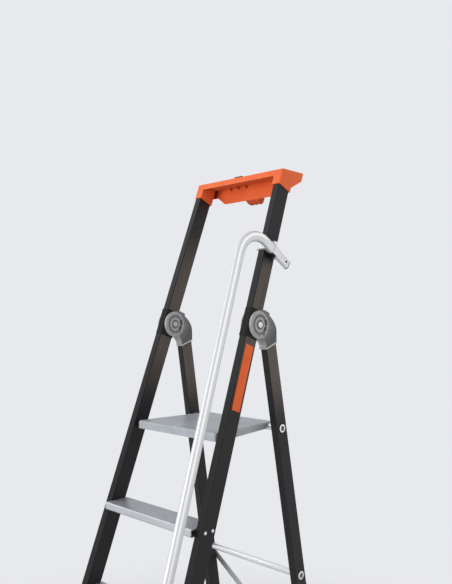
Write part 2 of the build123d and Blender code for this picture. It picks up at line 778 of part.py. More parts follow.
nodes = {
    "stile_right": stile_right,
    "stile_left": left_of(make_stile()),
    "hinge_sleeve_right": sleeve_right,
    "hinge_sleeve_left": left_of(sleeve_right),
    "hinge_pin_right": pin_right,
    "hinge_pin_left": left_of(pin_right),
    "hinge_fork_right": fork_right,
    "hinge_fork_left": left_of(fork_right),
    "rear_leg_right": leg_right,
    "rear_leg_left": left_of(leg_right),
    "front_foot_right": front_foot,
    "front_foot_left": left_of(front_foot),
    "rear_foot_right": rear_foot,
    "rear_foot_left": left_of(rear_foot),
    "tread_rivets": make_tread_rivets(),
    "top_cap": make_cap(),
    "cap_pad": make_cap_pad(),
    "carry_grip": make_grip(),
    "cap_screws": make_cap_screws(),
    "rear_tube_top": make_rear_tube(top_tube),
    "rear_tube_middle": make_rear_tube(lower_tubes[0]),
    "rear_tube_low": make_rear_tube(lower_tubes[1]),
    "rear_brace_inner": make_brace(0, False),
    "rear_brace_outer": make_brace(1, True),
    "brace_rivets": make_brace_rivets(),
    "fork_rivets": make_fork_rivets(),
    "platform_deck": make_deck(),
    "platform_hook_right": hook_right,
    "platform_hook_left": left_of(hook_right),
    "hook_rivets": [place * hook_rivet(0, 0) for place in hook_rivet_places()],
    "platform_pins": make_deck_pins(),
    "platform_bushes": make_deck_bushes(),
    "handrail_tube": make_rail(),
    "handrail_plugs": make_rail_plugs(),
}
for number in range(1, tread_count + 1):
    nodes[f"tread_{number}"] = make_tread(number)
for name, tail_plane in tail_planes.items():
    nodes[f"rail_bracket_{name}"] = make_rail_bracket(tail_plane)
    nodes[f"rail_strap_{name}"] = make_rail_strap(tail_plane)
    nodes[f"rail_bolt_{name}"] = make_rail_bolt(tail_plane)

# The origin is the middle of the whole box, on the ground
box = stile_right.bounding_box()
for shapes in nodes.values():
    for shape in shapes if isinstance(shapes, list) else [shapes]:
        box = box.add(shape.bounding_box())
to_origin = Pos(-box.center().X, -box.center().Y, -box.min.Z)

os.makedirs("parts", exist_ok=True)
for node, shapes in nodes.items():
    if isinstance(shapes, list):
        placed = Compound(children=[to_origin * shape for shape in shapes])
    else:
        placed = to_origin * shapes
    export_step(placed, f"parts/{node}.step")
print("box", box.size, "shift", to_origin.position)
print("hinge", (to_origin * Pos(*hinge)).position, "deck pivot", (to_origin * Pos(*deck_pivot_point)).position)
print("fold", fold_angle, "deck fold", 90 - front_lean)
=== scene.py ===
"""Looks of the folding platform stepladder: finishes, small fasteners, bare plate, studio and camera."""

import json
import logging
import math
from dataclasses import dataclass, field, replace
from enum import Enum
from typing import Any, Callable, Dict, Iterable, List, Sequence, Tuple, Union

import bpy
from mathutils import Euler, Matrix, Vector


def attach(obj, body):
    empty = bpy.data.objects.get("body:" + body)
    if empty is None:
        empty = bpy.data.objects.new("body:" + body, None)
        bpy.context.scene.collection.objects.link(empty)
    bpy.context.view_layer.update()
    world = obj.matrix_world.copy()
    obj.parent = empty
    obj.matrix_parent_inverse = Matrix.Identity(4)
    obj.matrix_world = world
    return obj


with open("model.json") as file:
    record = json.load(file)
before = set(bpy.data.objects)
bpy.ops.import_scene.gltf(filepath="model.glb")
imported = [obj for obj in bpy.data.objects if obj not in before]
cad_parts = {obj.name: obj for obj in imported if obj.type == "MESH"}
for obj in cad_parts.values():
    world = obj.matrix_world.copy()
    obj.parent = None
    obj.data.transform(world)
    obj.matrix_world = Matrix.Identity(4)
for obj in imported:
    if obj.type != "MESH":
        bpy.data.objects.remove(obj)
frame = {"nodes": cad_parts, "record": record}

log = logging.getLogger("stepladder")
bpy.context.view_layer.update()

Colour = Tuple[float, float, float, float]
Place = Tuple[float, float, float]
Span = Tuple[float, float]
Tree = bpy.types.NodeTree
Node = bpy.types.Node
Material = bpy.types.Material
Piece = bpy.types.Object
# What feeds a node's input: a socket, or a node for its first output in use
Feed = Union[bpy.types.NodeSocket, Node]

MM = 0.001
# Values between which most of a noise lies
NOISE_SPAN: Span = (0.3, 0.7)
# Shares at the two ends of a span where something fades out, and how a fade runs
FALLING: Span = (1.0, 0.0)
SMOOTH = {"interpolation_type": "SMOOTHSTEP"}
# How many layers a pattern has, how much each adds, and how far it is pulled about
DIE_NOISE = {"Detail": 3.0, "Roughness": 0.6}
DRIFT_NOISE = {"Detail": 2.0, "Roughness": 0.5}
CAST_NOISE = {"Detail": 4.0, "Roughness": 0.6, "Distortion": 0.3}
FLOW_NOISE = {"Detail": 4.0, "Roughness": 0.55, "Distortion": 0.4}
PITS = {"Randomness": 1.0}
# Height that a relief of full strength stands for, in metres
RELIEF = 0.0002
# Least part of a face's normal along an axis that the face looks along
FACING = 0.9


class Body(Enum):
    """Bodies of the ladder that move as one."""

    FRONT = "front_frame"
    REAR = "rear_frame"
    DECK = "platform"


class Slot(Enum):
    """Material slots of the part's record."""

    CAP = "orange_plastic"
    BLACK = "black_plastic"


@dataclass(frozen=True)
class Stance:
    """Where the ladder's main lines run, in metres and degrees.

    The hinge line's place in the part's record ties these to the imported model. The middles of the stile's and
    the leg's section are measured back from that line, and the rail's points lie in the right stile's frame.
    """

    hinge: Place = (0.0, 0.125453, 1.474554)
    platform: float = 1.175
    stile_x: float = 0.193
    front_lean: float = 19.9
    front_taper: float = 1.35
    rear_lean: float = 10.0
    stile_half_width: float = 0.012
    stile_back_mm: float = -16.0
    leg_back_mm: float = 48.5
    rail_low: Place = (0.027, -0.117, -0.638)
    rail_top: Place = (0.027, -0.13905, 0.48592)
    rail_bend: float = 0.078

    def shift(self) -> Vector:
        """Offset from the ladder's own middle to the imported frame."""
        joints = {joint["name"]: joint for joint in frame["record"]["behaviour"]["joints"]}
        return Vector(joints["rear_fold"]["pos_m"]) - Vector(self.hinge)

    def hinge_line(self) -> Vector:
        """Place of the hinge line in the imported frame."""
        return Vector(self.hinge) + self.shift()

    def stile(self) -> Matrix:
        """Right stile's frame: x outwards, y backwards, z up along it, at platform height.

        Returns:
            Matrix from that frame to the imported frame.
        """
        lean = math.radians(self.front_lean)
        taper = math.radians(self.front_taper)
        along = Vector((-math.sin(taper), math.cos(taper) * math.sin(lean), math.cos(taper) * math.cos(lean)))
        across = Vector((math.cos(taper), math.sin(taper) * math.sin(lean), math.sin(taper) * math.cos(lean)))
        turn = Matrix((across, along.cross(across), along)).transposed().to_4x4()
        origin = Vector((self.stile_x, 0.0, self.platform)) + self.shift()
        return Matrix.Translation(origin) @ turn

    def rail(self) -> Matrix:
        """Handrail's frame where its straight meets the upper bend: y back across the tube, z up along it.

        Returns:
            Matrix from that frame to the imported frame.
        """
        along = (Vector(self.rail_top) - Vector(self.rail_low)).normalized()
        across = Vector((1.0, 0.0, 0.0))
        turn = Matrix((across, along.cross(across), along)).transposed().to_4x4()
        return self.stile() @ Matrix.Translation(self.rail_top) @ turn


STANCE = Stance()


def section_axes(lean: float) -> Tuple[Vector, Vector]:
    """Unit vectors back across and up along a section whose top leans forwards by some degrees."""
    turn = math.radians(lean)
    return Vector((0.0, math.cos(turn), math.sin(turn))), Vector((0.0, -math.sin(turn), math.cos(turn)))


def linear(code: str) -> Colour:
    """Turn an sRGB hex colour into a linear one, by the curve of that standard.

    Args:
        code: Colour such as "#E8622F".

    Returns:
        Linear red, green, blue and an alpha of 1.
    """
    parts = [int(code[i:i + 2], 16) / 255 for i in (1, 3, 5)]
    bent = [v / 12.92 if v <= 0.04045 else ((v + 0.055) / 1.055) ** 2.4 for v in parts]
    return (bent[0], bent[1], bent[2], 1.0)


def add_node(tree: Tree, kind: str, inputs: Dict[Any, Any], **settings: Any) -> Node:
    """Add a node with its settings, values and links.

    Args:
        tree: Tree that takes the node.
        kind: Blender's name of the node type, after "ShaderNode".
        inputs: Input name or number to a value, a hex colour, or what feeds it.
        **settings: Properties of the node itself.

    Returns:
        The new node.
    """
    node = tree.nodes.new(f"ShaderNode{kind}")
    for name, value in settings.items():
        setattr(node, name, value)
    for name, value in inputs.items():
        if isinstance(value, str):
            value = linear(value)
        elif isinstance(value, Node):
            value = next(socket for socket in value.outputs if socket.enabled)
        if isinstance(value, bpy.types.NodeSocket):
            tree.links.new(value, node.inputs[name])
        else:
            node.inputs[name].default_value = value
    return node


def ramp(value: Feed, span: Span, to: Span = (0.0, 1.0)) -> Dict[str, Any]:
    """Inputs of a node that leads a value from one span to another."""
    return {"Value": value, "From Min": span[0], "From Max": span[1], "To Min": to[0], "To Max": to[1]}


def new_material(name: str) -> Tuple[Material, Tree, Node]:
    """Start a node material with the places on its object.

    Args:
        name: Name of the real material and how it was made.

    Returns:
        The material, its node tree and the node that gives the places.
    """
    material = bpy.data.materials.new(name)
    material.use_nodes = True
    tree = material.node_tree
    tree.nodes.clear()
    return material, tree, add_node(tree, "TexCoord", {})


def window(tree: Tree, value: Feed, low: float, high: float, soft: float, fall_soft: float = 0.0) -> Node:
    """Share that is 1 between two values and fades to 0 outside them.

    Args:
        tree: Tree that takes the nodes.
        value: Measured value.
        low: Value where the share has risen to 1.
        high: Value where it starts to fall.
        soft: Width of each fade.
        fall_soft: Width of the upper fade, where it is another.

    Returns:
        The share.
    """
    start = (low - soft, low)
    end = (high, high + (fall_soft or soft))
    rise = add_node(tree, "MapRange", ramp(value, start), **SMOOTH)
    fall = add_node(tree, "MapRange", ramp(value, end, FALLING), **SMOOTH)
    return add_node(tree, "Math", {0: rise, 1: fall}, operation="MULTIPLY")


def patterned(
    tree: Tree, place: Feed, texture: str, cell_mm: Sequence[float], values: Dict[str, float],
    turn: Place = (0.0, 0.0, 0.0), **settings: Any,
) -> Node:
    """Lay a texture in cells of a real size.

    Args:
        tree: Tree that takes the nodes.
        place: Place in the ladder's frame.
        texture: Blender's name of the texture, after "ShaderNode".
        cell_mm: Size of a cell along x, y and z.
        values: Texture's own inputs.
        turn: Turn of the cells, in degrees.
        **settings: Properties of the texture.

    Returns:
        The texture.
    """
    turned = Euler([math.radians(v) for v in turn])
    cells = add_node(tree, "Mapping", {
        "Vector": place, "Rotation": turned, "Scale": [v * MM for v in cell_mm],
    }, vector_type="TEXTURE")
    return add_node(tree, texture, {"Vector": cells, "Scale": 1.0, **values}, **settings)


@dataclass(frozen=True, kw_only=True)
class Finish:
    """What the finishes share: a fine pattern varies the gloss and stands out in relief.

    Sizes that end in mm are millimetres, other lengths are metres, and turns are degrees.
    """

    name: str
    roughness: float
    bump: float
    metallic: float = 0.0
    specular: float = 0.5
    gloss_drift: Span = (-0.06, 0.08)
    gloss_span: Span = NOISE_SPAN

    def close(self, tree: Tree, colour: Feed, gloss: Feed, height: Feed) -> None:
        """Lead colour, gloss and relief into the shader.

        Args:
            tree: Tree that takes the nodes.
            colour: Base colour.
            gloss: Pattern that varies the roughness.
            height: Pattern that stands out.
        """
        smooth, rough = [self.roughness + v for v in self.gloss_drift]
        matt = add_node(tree, "MapRange", ramp(gloss, self.gloss_span, (smooth, rough)))
        relief = add_node(tree, "Bump", {"Height": height, "Strength": self.bump, "Distance": RELIEF})
        shader = add_node(tree, "BsdfPrincipled", {
            "Base Color": colour, "Roughness": matt, "Normal": relief,
            "Metallic": self.metallic, "Specular IOR Level": self.specular,
        })
        add_node(tree, "OutputMaterial", {"Surface": shader})


@dataclass(frozen=True, kw_only=True)
class LinedMetal(Finish):
    """Metal drawn or extruded through a die: fine lines run along it, and its tone drifts along its length.

    Where it was bent after the draw, outside the straight heights, the stretch has wiped the lines away.
    """

    light: str
    dark: str
    line_mm: float
    drift_mm: float
    bump: float = 0.12
    run: float = 120.0
    drift_run: float = 2.5
    tone_span: Span = (0.62, 1.38)
    turn: Place = (0.0, 0.0, 0.0)
    straight: Tuple[float, ...] = ()
    straight_fade: float = 0.06
    wiped_share: float = 0.5
    reflection_bands: Tuple[Tuple[float, float, str], ...] = ()
    band_soft_mm: float = 1.2
    band_length: float = 1.02
    band_end: float = 0.03
    dull: str = ""
    dull_inside: float = 0.0

    def lined(self, tree: Tree, place: Feed, streak: Feed) -> Node:
        """Colour between dark and light that follows the lines and the drift.

        Args:
            tree: Tree that takes the nodes.
            place: Place in the ladder's frame.
            streak: Lines.

        Returns:
            The colour.
        """
        cell = (self.drift_mm, self.drift_mm, self.drift_mm * self.drift_run)
        drift = patterned(tree, place, "TexNoise", cell, DRIFT_NOISE, self.turn)
        both = add_node(tree, "Math", {0: streak, 1: drift}, operation="ADD")
        share = add_node(tree, "MapRange", ramp(both, self.tone_span))
        if self.straight:
            axes = add_node(tree, "SeparateXYZ", {0: place})
            drawn = window(tree, axes.outputs["Z"], *self.straight, self.straight_fade)
            share = add_node(tree, "Mix", {"Factor": drawn, "A": self.wiped_share, "B": share})
        return add_node(tree, "Mix", {"Factor": share, "A": self.dark, "B": self.light}, data_type="RGBA")

    def with_painted_reflections(self, tree: Tree, place: Feed, colour: Feed) -> Feed:
        """Paint reflections as darker and brighter bands along the handrail's straight and round its upper
        bend.

        Args:
            tree: Tree that takes the nodes.
            place: Place in the ladder's frame.
            colour: Colour between the bands.

        Returns:
            The banded colour.
        """
        rail = STANCE.rail()
        bend = STANCE.rail_bend
        local = add_node(tree, "Mapping", {
            "Vector": place, "Location": rail.translation, "Rotation": rail.to_euler(),
        }, vector_type="TEXTURE")
        axes = add_node(tree, "SeparateXYZ", {0: local})
        above = add_node(tree, "Math", {0: axes.outputs["Z"], 1: 0.0}, operation="MAXIMUM")
        spot = add_node(tree, "CombineXYZ", {"Y": axes.outputs["Y"], "Z": above})
        far = add_node(tree, "VectorMath", {0: spot, 1: (0.0, bend, 0.0)}, operation="DISTANCE")
        depth = add_node(tree, "Math", {0: bend, 1: far}, operation="SUBTRACT")
        upright = window(tree, axes.outputs["Z"], -self.band_length, 2 * bend, self.band_end)
        forward = window(tree, axes.outputs["Y"], -bend, bend, self.band_end)
        drawn = add_node(tree, "Math", {0: upright, 1: forward}, operation="MULTIPLY")
        # Painted reflections: darker and brighter bands across the tube
        for low, high, shade in self.reflection_bands:
            band = window(tree, depth, low * MM, high * MM, self.band_soft_mm * MM)
            here = add_node(tree, "Math", {0: band, 1: drawn}, operation="MULTIPLY")
            colour = add_node(tree, "Mix", {"Factor": here, "A": colour, "B": shade}, data_type="RGBA")
        return colour

    def dulled(self, tree: Tree, place: Feed, colour: Feed) -> Node:
        """Darken what lies between the stiles.

        Args:
            tree: Tree that takes the nodes.
            place: Place in the ladder's frame.
            colour: Colour of the outer ends.

        Returns:
            The colour.
        """
        axes = add_node(tree, "SeparateXYZ", {0: place})
        aside = add_node(tree, "Math", {0: axes.outputs["X"]}, operation="ABSOLUTE")
        brighter = add_node(tree, "Math", {0: aside, 1: self.dull_inside}, operation="GREATER_THAN")
        return add_node(tree, "Mix", {"Factor": brighter, "A": self.dull, "B": colour}, data_type="RGBA")

    def material(self) -> Material:
        """Build the node material.

        Returns:
            The material.
        """
        material, tree, place = new_material(self.name)
        here = place.outputs["Object"]
        cell = (self.line_mm, self.line_mm, self.line_mm * self.run)
        streak = patterned(tree, here, "TexNoise", cell, DIE_NOISE, self.turn)
        colour = self.lined(tree, here, streak)
        if self.reflection_bands:
            colour = self.with_painted_reflections(tree, here, colour)
        if self.dull:
            colour = self.dulled(tree, here, colour)
        self.close(tree, colour, streak, streak)
        return material


@dataclass(frozen=True, kw_only=True)
class AnodisedSection(Finish):
    """Dark anodised box extrusion.

    The die leaves fine lines along the bar, drawn coarser than they are so that they show. Over its dark
    colour,
    reflections are painted: warm on the wide faces in a band of heights, darker towards the bar's ends, and
    near black on the corner beads and the narrow faces.
    """

    wide: str
    narrow: str
    edge: str
    ends: str
    lean: float
    warm_from: float
    warm_to: float
    fades: Span
    middle_mm: float
    depth_mm: float
    bead_mm: float = 4.0
    bead_soft_mm: float = 2.5
    narrow_span: Span = (0.12, 0.45)
    wide_span: Span = (0.80, 0.985)
    line_mm: float = 4.5
    run: float = 160.0
    contrast: Span = (0.80, 1.20)
    roughness: float = 0.40
    bump: float = 0.12
    metallic: float = 0.25
    specular: float = 0.28

    def between_beads(self, tree: Tree, place: Feed) -> Node:
        """Share that is 1 on the flat of a wide face and 0 on the beads along its two edges.

        Args:
            tree: Tree that takes the nodes.
            place: Place in the ladder's frame.

        Returns:
            The share.
        """
        centred = add_node(tree, "VectorMath", {0: place, 1: STANCE.hinge_line()}, operation="SUBTRACT")
        axis = section_axes(self.lean)[0]
        back = add_node(tree, "VectorMath", {0: centred, 1: axis}, operation="DOT_PRODUCT")
        half = self.depth_mm / 2 - self.bead_mm
        low, high = [(self.middle_mm + v) * MM for v in (-half, half)]
        return window(tree, back, low, high, self.bead_soft_mm * MM)

    def painted_reflections(self, tree: Tree, place: Node) -> Node:
        """Painted reflections on the narrow faces, the corners and the wide faces, and by height along the bar.

        Args:
            tree: Tree that takes the nodes.
            place: Node that gives the places on the object.

        Returns:
            The colour.
        """
        facing = add_node(tree, "SeparateXYZ", {0: place.outputs["Normal"]})
        sideways = add_node(tree, "Math", {0: facing.outputs["X"]}, operation="ABSOLUTE")
        narrow = add_node(tree, "MapRange", ramp(sideways, self.narrow_span, FALLING))
        wide = add_node(tree, "MapRange", ramp(sideways, self.wide_span))
        between = self.between_beads(tree, place.outputs["Object"])
        flat = add_node(tree, "Math", {0: wide, 1: between}, operation="MULTIPLY")
        axes = add_node(tree, "SeparateXYZ", {0: place.outputs["Object"]})
        # Painted reflection: warm in a band of heights, darker towards the bar's ends
        warm = window(tree, axes.outputs["Z"], self.warm_from, self.warm_to, *self.fades)
        front = add_node(tree, "Mix", {"Factor": narrow, "A": self.edge, "B": self.narrow}, data_type="RGBA")
        side = add_node(tree, "Mix", {"Factor": warm, "A": self.ends, "B": self.wide}, data_type="RGBA")
        return add_node(tree, "Mix", {"Factor": flat, "A": front, "B": side}, data_type="RGBA")

    def material(self) -> Material:
        """Build the node material.

        Returns:
            The material.
        """
        material, tree, place = new_material(self.name)
        cell = (self.line_mm, self.line_mm, self.line_mm * self.run)
        turn = (self.lean, 0.0, 0.0)
        streak = patterned(tree, place.outputs["Object"], "TexNoise", cell, DIE_NOISE, turn)
        level = add_node(tree, "MapRange", ramp(streak, NOISE_SPAN, self.contrast))
        lined = add_node(tree, "HueSaturation", {"Value": level, "Color": self.painted_reflections(tree, place)})
        self.close(tree, lined, streak, streak)
        return material


@dataclass(frozen=True, kw_only=True)
class HingeCasting(Finish):
    """Grey hinge casting.

    The turned disc is a tone paler than the grained skin round it. Shade is painted on the skin away from
    the disc, in the sunk rings, the pockets and every recess, and highlights are painted on the rims, on the
    other faces turned away from the sides, on the socket's front and on its lip.
    """

    turned: str
    sunk_shade: str
    cast: str
    far_shade: str
    brighter: str
    pocket_shade: str
    recess_shade: str
    turned_radius_mm: float
    sunk_rings_mm: Tuple[Span, ...]
    pockets: Tuple[Tuple[float, float, float, float], ...]
    grain_mm: float
    mottle_mm: float
    mottle: Span = (0.86, 1.14)
    rim_fade_mm: Span = (-1.0, 4.0)
    shade_radius_mm: float = 74.0
    edge_soft_mm: float = 0.8
    pocket_soft_rad: float = 0.03
    lathe_mm: float = 1.1
    recess_mm: float = 7.0
    recess_span: Span = (0.45, 0.85)
    recess_shares: Span = (0.25, 1.0)
    rim_span: Span = (0.50, 0.92)
    lip_mm: Span = (0.2, 4.4)
    lip_soft_mm: float = 0.6
    lip_turn: float = 10.7
    socket_low_mm: float = -74.0
    bump: float = 0.12
    gloss_drift: Span = (-0.05, 0.07)

    def lip(self) -> Tuple[Vector, float]:
        """Direction across the socket's end lip, and where the lip starts along it.

        Returns:
            Unit vector and distance from the hinge line.
        """
        back, up = section_axes(STANCE.rear_lean)
        axis = section_axes(STANCE.rear_lean + self.lip_turn)[1]
        return axis, axis.dot(back * STANCE.leg_back_mm * MM + up * self.socket_low_mm * MM)

    def disc(self, tree: Tree, far: Feed, outside: Feed) -> Node:
        """Tones of the turned disc, of its sunk rings with painted shade, and of the skin round it,
        painted darker away from the disc as shade.

        Args:
            tree: Tree that takes the nodes.
            far: Distance from the hinge line.
            outside: Share that is 0 on the disc and 1 outside it.

        Returns:
            The colour.
        """
        # Painted shade: the skin darkens away from the disc
        shaded_far = add_node(tree, "MapRange", ramp(far, (self.turned_radius_mm * MM, self.shade_radius_mm * MM)))
        skin = add_node(tree, "Mix", {"Factor": shaded_far, "A": self.cast, "B": self.far_shade}, data_type="RGBA")
        tone = add_node(tree, "Mix", {"Factor": outside, "A": self.turned, "B": skin}, data_type="RGBA")
        for inner, outer in self.sunk_rings_mm:
            ring = window(tree, far, inner * MM, outer * MM, self.edge_soft_mm * MM)
            tone = add_node(tree, "Mix", {"Factor": ring, "A": tone, "B": self.sunk_shade}, data_type="RGBA")
        return tone

    def with_painted_shade(self, tree: Tree, centred: Feed, far: Feed, colour: Feed) -> Node:
        """Paint shade into the pockets in the disc and into every other recess.

        Args:
            tree: Tree that takes the nodes.
            centred: Place from the hinge line.
            far: Distance from the hinge line.
            colour: Colour of the open faces.

        Returns:
            The colour.
        """
        back, up = [
            add_node(tree, "VectorMath", {0: centred, 1: axis}, operation="DOT_PRODUCT")
            for axis in section_axes(STANCE.rear_lean)
        ]
        angle = add_node(tree, "Math", {0: up, 1: back}, operation="ARCTAN2")
        for start, end, inner, outer in self.pockets:
            turn = window(tree, angle, math.radians(start), math.radians(end), self.pocket_soft_rad)
            ring = window(tree, far, inner * MM, outer * MM, self.edge_soft_mm * MM)
            both = add_node(tree, "Math", {0: turn, 1: ring}, operation="MULTIPLY")
            colour = add_node(tree, "Mix", {"Factor": both, "A": colour, "B": self.pocket_shade}, data_type="RGBA")
        # Painted shade in every recess that the occlusion finds
        recess = add_node(tree, "AmbientOcclusion", {"Distance": self.recess_mm * MM}, only_local=True)
        bare = add_node(tree, "MapRange", ramp(recess.outputs["AO"], self.recess_span, self.recess_shares))
        return add_node(tree, "Mix", {"Factor": bare, "A": self.recess_shade, "B": colour}, data_type="RGBA")

    def with_painted_highlights(self, tree: Tree, centred: Feed, normal: Feed, colour: Feed) -> Node:
        """Paint highlights on the rims, on the faces turned away from the sides and on the socket's end lip.

        Args:
            tree: Tree that takes the nodes.
            centred: Place from the hinge line.
            normal: Face's normal.
            colour: Colour without the painted highlights.

        Returns:
            The colour.
        """
        # Painted highlights on faces turned away from the sides and on the lip
        facing = add_node(tree, "SeparateXYZ", {0: normal})
        sideways = add_node(tree, "Math", {0: facing.outputs["X"]}, operation="ABSOLUTE")
        rims = add_node(tree, "MapRange", ramp(sideways, self.rim_span, FALLING))
        axis, start = self.lip()
        across = add_node(tree, "VectorMath", {0: centred, 1: axis}, operation="DOT_PRODUCT")
        low, high = [start + v * MM for v in self.lip_mm]
        lip = window(tree, across, low, high, self.lip_soft_mm * MM)
        bright = add_node(tree, "Math", {0: rims, 1: lip}, operation="MAXIMUM")
        return add_node(tree, "Mix", {"Factor": bright, "A": colour, "B": self.brighter}, data_type="RGBA")

    def material(self) -> Material:
        """Build the node material.

        Returns:
            The material.
        """
        material, tree, place = new_material(self.name)
        here = place.outputs["Object"]
        centred = add_node(tree, "VectorMath", {0: here, 1: STANCE.hinge_line()}, operation="SUBTRACT")
        flat = add_node(tree, "VectorMath", {0: centred, 1: (0.0, 1.0, 1.0)}, operation="MULTIPLY")
        far = add_node(tree, "VectorMath", {0: flat}, operation="LENGTH")
        start, end = [(self.turned_radius_mm + v) * MM for v in self.rim_fade_mm]
        outside = add_node(tree, "MapRange", ramp(far, (start, end)), **SMOOTH)
        colour = self.disc(tree, far, outside)
        colour = self.with_painted_shade(tree, centred, far, colour)
        colour = self.with_painted_highlights(tree, centred, place.outputs["Normal"], colour)
        flow = patterned(tree, here, "TexNoise", [self.mottle_mm] * 3, CAST_NOISE)
        level = add_node(tree, "MapRange", ramp(flow, NOISE_SPAN, self.mottle))
        mottled = add_node(tree, "HueSaturation", {"Value": level, "Color": colour})
        pits = patterned(tree, here, "TexVoronoi", [self.grain_mm] * 3, PITS, feature="SMOOTH_F1")
        turns = 2 * math.pi / (self.lathe_mm * MM)
        lathe = add_node(tree, "Math", {0: far, 1: turns}, operation="MULTIPLY")
        rings = add_node(tree, "Math", {0: lathe}, operation="SINE")
        face = add_node(tree, "Mix", {"Factor": outside, "A": rings, "B": pits})
        self.close(tree, mottled, flow, face)
        return material


@dataclass(frozen=True, kw_only=True)
class GrainedMoulding(Finish):
    """Moulded plastic or rubber: the tool's fine grain on the face, and a slow mottle from its flow."""

    light: str
    dark: str
    grain_mm: float
    mottle_mm: float
    mottle_span: Span = (0.35, 0.65)
    crease_shade: str = ""
    crease_mm: float = 60.0
    crease_span: Span = (0.12, 0.50)
    gloss_drift: Span = (-0.05, 0.07)
    gloss_span: Span = (0.1, 0.7)

    def material(self) -> Material:
        """Build the node material.

        Returns:
            The material.
        """
        material, tree, place = new_material(self.name)
        here = place.outputs["Object"]
        pits = patterned(tree, here, "TexVoronoi", [self.grain_mm] * 3, PITS, feature="SMOOTH_F1")
        flow = patterned(tree, here, "TexNoise", [self.mottle_mm] * 3, FLOW_NOISE)
        share = add_node(tree, "MapRange", ramp(flow, self.mottle_span))
        tone = add_node(tree, "Mix", {"Factor": share, "A": self.dark, "B": self.light}, data_type="RGBA")
        # Painted shade in the creases and corners, where other surfaces stand near
        if self.crease_shade:
            corner = add_node(tree, "AmbientOcclusion", {"Distance": self.crease_mm * MM})
            bare = add_node(tree, "MapRange", ramp(corner.outputs["AO"], self.crease_span))
            tone = add_node(tree, "Mix", {"Factor": bare, "A": self.crease_shade, "B": tone}, data_type="RGBA")
        self.close(tree, tone, pits, pits)
        return material


@dataclass(frozen=True, kw_only=True)
class ShadowedStrap:
    """Bright pressed strap, its foot on the stile painted black up to a wavy edge, as the shadow under the
    handrail.
    """

    name: str
    bright: str
    painted_shadow: str
    edge_mm: float
    edge_soft_mm: float = 0.6
    edge_noise_mm: float = 6.0
    edge_noise_reach_mm: float = 1.0
    roughness: float = 0.36
    metallic: float = 0.5
    specular: float = 0.25

    def material(self, tail: Matrix) -> Material:
        """Build the node material.

        Args:
            tail: Frame of the handrail's end, z square to the tube.

        Returns:
            The material, with a painted shadow below an edge in that frame.
        """
        material, tree, place = new_material(self.name)
        here = place.outputs["Object"]
        axis = tail.to_3x3() @ Vector((0.0, 0.0, 1.0))
        edge = axis.dot(tail.translation) + self.edge_mm * MM
        # Painted shadow: dark and not metallic below a wavy edge
        along = add_node(tree, "VectorMath", {0: here, 1: axis}, operation="DOT_PRODUCT")
        edge_noise = patterned(tree, here, "TexNoise", [self.edge_noise_mm] * 3, DRIFT_NOISE)
        reach = self.edge_noise_reach_mm * MM
        wavy = add_node(tree, "Math", {0: edge_noise, 1: reach, 2: along}, operation="MULTIPLY_ADD")
        share = add_node(tree, "MapRange", ramp(wavy, (edge, edge + self.edge_soft_mm * MM)))
        tone = add_node(tree, "Mix", {"Factor": share, "A": self.painted_shadow, "B": self.bright}, data_type="RGBA")
        metal = add_node(tree, "Math", {0: share, 1: self.metallic}, operation="MULTIPLY")
        shader = add_node(tree, "BsdfPrincipled", {
            "Base Color": tone, "Roughness": self.roughness, "Metallic": metal,
            "Specular IOR Level": self.specular,
        })
        add_node(tree, "OutputMaterial", {"Surface": shader})
        return material


# Anodised extrusion: dark, with faint die lines along the section and painted reflections, bronze and black
STILE_ANODISED = AnodisedSection(
    name="anodised_aluminium_extruded_stile", wide="#4E4640", narrow="#161616", edge="#0C0C0C",
    ends="#1D1C1B", lean=-STANCE.front_lean, warm_from=1.42, warm_to=1.62, fades=(0.20, 0.20),
    middle_mm=STANCE.stile_back_mm, depth_mm=50.0,
)
# The handrail's stile: the dark of its upper end reaches down to the clamp and ends sharply there,
# a painted shadow of the handrail
RAIL_STILE_SHADOWED = replace(
    STILE_ANODISED, name="anodised_aluminium_extruded_rail_stile_shadowed", ends="#191817", warm_to=1.635,
    fades=(0.20, 0.05),
)
# The legs are a thinner section, their beads narrower and their painted reflections a tone paler
LEG_ANODISED = AnodisedSection(
    name="anodised_aluminium_extruded_leg", wide="#554D47", narrow="#1E1E1D", edge="#161616",
    ends="#1B1A19", lean=STANCE.rear_lean, warm_from=1.33, warm_to=1.46, fades=(0.17, 0.17),
    middle_mm=STANCE.leg_back_mm, depth_mm=45.0, bead_mm=2.5,
)
# Drawn tube: bright satin skin, lines drawn coarser than they are to show, with painted
# reflections as darker and brighter bands along it
RAIL_DRAWN = LinedMetal(
    name="bright_aluminium_drawn_tube", light="#E6E7E9", dark="#C6C9CC", metallic=0.60, roughness=0.42,
    line_mm=6.5, drift_mm=80.0, bump=0.01, turn=(-STANCE.front_lean, 0.0, 0.0), straight=(0.70, 1.58),
    reflection_bands=(
        (-17.0, -13.4, "#D6D8DA"), (-12.6, -9.4, "#D0D3D5"), (-8.4, -2.2, "#F4F5F5"), (0.2, 17.0, "#CDD0D2"),
    ),
)
# Drawn cross tube: brighter and smoother, its lines run across the ladder
CROSS_DRAWN = LinedMetal(
    name="bright_aluminium_drawn_cross_tube", light="#EDEEEF", dark="#DCDEE0", metallic=0.75, roughness=0.32,
    line_mm=1.6, drift_mm=80.0, bump=0.05, turn=(0.0, 90.0, 0.0),
)
# Mill-finish extrusion of the treads: duller, its lines run across the ladder
TREAD_MILL = LinedMetal(
    name="mill_aluminium_extruded_tread", light="#C9CBCD", dark="#B2B5B8", metallic=0.8, roughness=0.38,
    line_mm=1.4, drift_mm=70.0, turn=(0.0, 90.0, 0.0),
)
# Strap: bright steel, its foot painted black as the shadow under the handrail
STRAP_SHADOWED = ShadowedStrap(
    name="bright_steel_pressed_strap_painted_shadow", bright="#DCDDDF", painted_shadow="#161616", edge_mm=-14.0,
)
